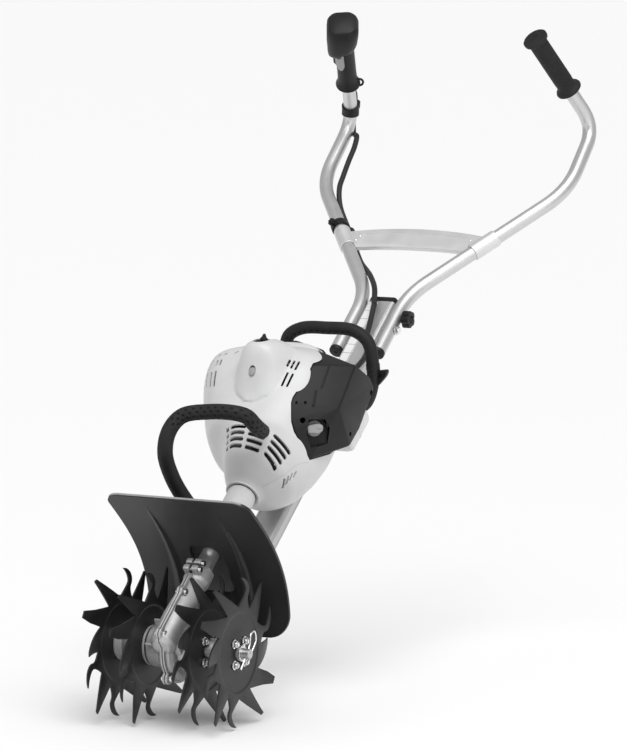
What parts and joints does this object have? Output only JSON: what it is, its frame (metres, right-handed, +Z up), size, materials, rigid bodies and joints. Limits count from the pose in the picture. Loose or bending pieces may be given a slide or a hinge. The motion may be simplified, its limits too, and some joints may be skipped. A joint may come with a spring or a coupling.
{
  "type": "mini cultivator",
  "caption": "Walk-behind mini cultivator: star tines on a worm gearbox, a small engine on a sloping frame, a curved deflector, carrying loops and a folding handlebar with a throttle grip.",
  "frame": {"origin": "on the ground, under the middle of the machine's bounding box", "axes": "+X towards the air filter side, +Y from the tines back to the operator, +Z up"},
  "size_m": [0.4902, 1.2066, 1.0692],
  "materials": {
    "white_plastic": "satin moulded",
    "black_plastic": "fine moulded grain",
    "black_rubber": "matt rubber",
    "grey_plastic": "satin moulded",
    "anodised_aluminium": "silver anodised, drawn",
    "cast_aluminium": "die cast, blasted",
    "steel": "bright zinc plated",
    "dark_paint": "dark powder coat, worn at the tips"
  },
  "bodies": {
    "frame": {"frame_rail": "anodised_aluminium", "frame_end_cap": "black_plastic", "frame_bracket": "cast_aluminium", "deflector": "black_plastic", "drive_tube": "anodised_aluminium", "drive_sleeve": "white_plastic", "gearbox_housing_left": "cast_aluminium", "gearbox_housing_right": "cast_aluminium", "axle_bearing_left": "steel", "axle_bearing_right": "steel", "engine_mount": "cast_aluminium", "crankcase": "cast_aluminium", "cylinder": "cast_aluminium", "piston": "cast_aluminium", "spark_plug_boot": "black_rubber", "muffler": "dark_paint", "carburettor": "cast_aluminium", "air_filter": "grey_plastic", "air_filter_cover": "black_plastic", "engine_shroud": "white_plastic", "clutch_housing": "white_plastic", "starter_housing": "grey_plastic", "fuel_tank": "white_plastic", "front_handle": "black_plastic", "rear_handle": "black_plastic", "throttle_cable_lower": "black_rubber"},
    "tine_axle": {"axle_shaft": "steel", "worm_wheel": "steel", "tine_hub_left": "cast_aluminium", "tine_hub_right": "cast_aluminium", "tine_star_outer_left": "dark_paint", "tine_star_inner_left": "dark_paint", "tine_star_inner_right": "dark_paint", "tine_star_outer_right": "dark_paint", "hitch_pin_left": "steel", "hitch_pin_right": "steel"},
    "worm_drive": {"worm_shaft": "steel", "clutch_drum": "steel"},
    "crank_train": {"crankshaft": "steel", "flywheel": "cast_aluminium"},
    "choke": {"choke_knob": "grey_plastic"},
    "fuel_cap": {"fuel_cap": "black_plastic"},
    "starter_grip": {"starter_grip": "black_plastic"},
    "starter_pulley": {"starter_pulley": "grey_plastic"},
    "handlebar": {"handle_tube_left": "anodised_aluminium", "handle_tube_right": "anodised_aluminium", "crossbar": "cast_aluminium", "tube_plug_left": "black_plastic", "tube_plug_right": "black_plastic", "grip_right": "black_rubber", "control_handle": "black_plastic", "cable_clip_top": "black_plastic", "cable_clip_middle": "black_plastic", "throttle_cable_upper": "black_rubber", "pivot_bolt": "steel"},
    "star_knob": {"star_knob": "black_plastic"},
    "throttle_trigger": {"throttle_trigger": "black_plastic"},
    "throttle_lock": {"throttle_lock": "black_plastic"},
    "stop_button": {"stop_button": "grey_plastic"}
  },
  "joints": [
    {"name": "tine_spin", "type": "hinge", "parent": "frame", "child": "tine_axle", "pos_m": [0, -0.47633, 0.11877], "axis": [1, 0, 0], "continuous": true},
    {"name": "worm_spin", "type": "hinge", "parent": "frame", "child": "worm_drive", "pos_m": [0, -0.5016, 0.15232], "axis": [0, 0.7986, 0.6018], "continuous": true},
    {"name": "crank_spin", "type": "hinge", "parent": "frame", "child": "crank_train", "pos_m": [0, -0.5016, 0.15232], "axis": [0, 0.7986, 0.6018], "continuous": true},
    {"name": "choke_turn", "type": "hinge", "parent": "frame", "child": "choke", "pos_m": [0.099, -0.2088, 0.43256], "axis": [0.6173, -0.7802, 0.1011], "range_deg": [0, 75]},
    {"name": "fuel_cap_turn", "type": "hinge", "parent": "frame", "child": "fuel_cap", "pos_m": [-0.079, -0.04479, 0.41015], "axis": [-1, 0, 0], "range_deg": [0, 270]},
    {"name": "starter_pull", "type": "slide", "parent": "frame", "child": "starter_grip", "axis": [0, -0.1219, 0.9925], "range_m": [0, 0.4], "stiffness_N_per_m": 8, "springref_m": -0.6},
    {"name": "pulley_spin", "type": "hinge", "parent": "frame", "child": "starter_pulley", "pos_m": [0, -0.5016, 0.15232], "axis": [0, 0.7986, 0.6018], "range_deg": [0, 900]},
    {"name": "handlebar_fold", "type": "hinge", "parent": "frame", "child": "handlebar", "pos_m": [0, 0.1853, 0.54848], "axis": [1, 0, 0], "range_deg": [0, 115], "deforming": ["throttle_cable_lower"]},
    {"name": "star_knob_turn", "type": "hinge", "parent": "handlebar", "child": "star_knob", "pos_m": [0.05, 0.20766, 0.56533], "axis": [1, 0, 0], "range_deg": [0, 720]},
    {"name": "trigger_squeeze", "type": "hinge", "parent": "handlebar", "child": "throttle_trigger", "pos_m": [-0.19617, 0.48728, 1.01134], "axis": [-0.9151, -0.3991, -0.0576], "range_deg": [0, 10], "stiffness_Nm_per_rad": 0.3, "springref_deg": -11.46},
    {"name": "lock_press", "type": "hinge", "parent": "handlebar", "child": "throttle_lock", "pos_m": [-0.20627, 0.47975, 1.00514], "axis": [-0.3415, -0.7529, -0.5626], "range_deg": [0, 7], "stiffness_Nm_per_rad": 0.2, "springref_deg": -11.46},
    {"name": "stop_press", "type": "slide", "parent": "handlebar", "child": "stop_button", "axis": [0.2287, 0.7611, 0.607], "range_m": [0, 0.002], "stiffness_N_per_m": 600, "springref_m": -0.002}
  ],
  "couplings": [
    {"joint": "worm_spin", "follows": "tine_spin", "ratio": 40},
    {"joint": "pulley_spin", "follows": "starter_pull", "rad_per_m": 38.46}
  ]
}
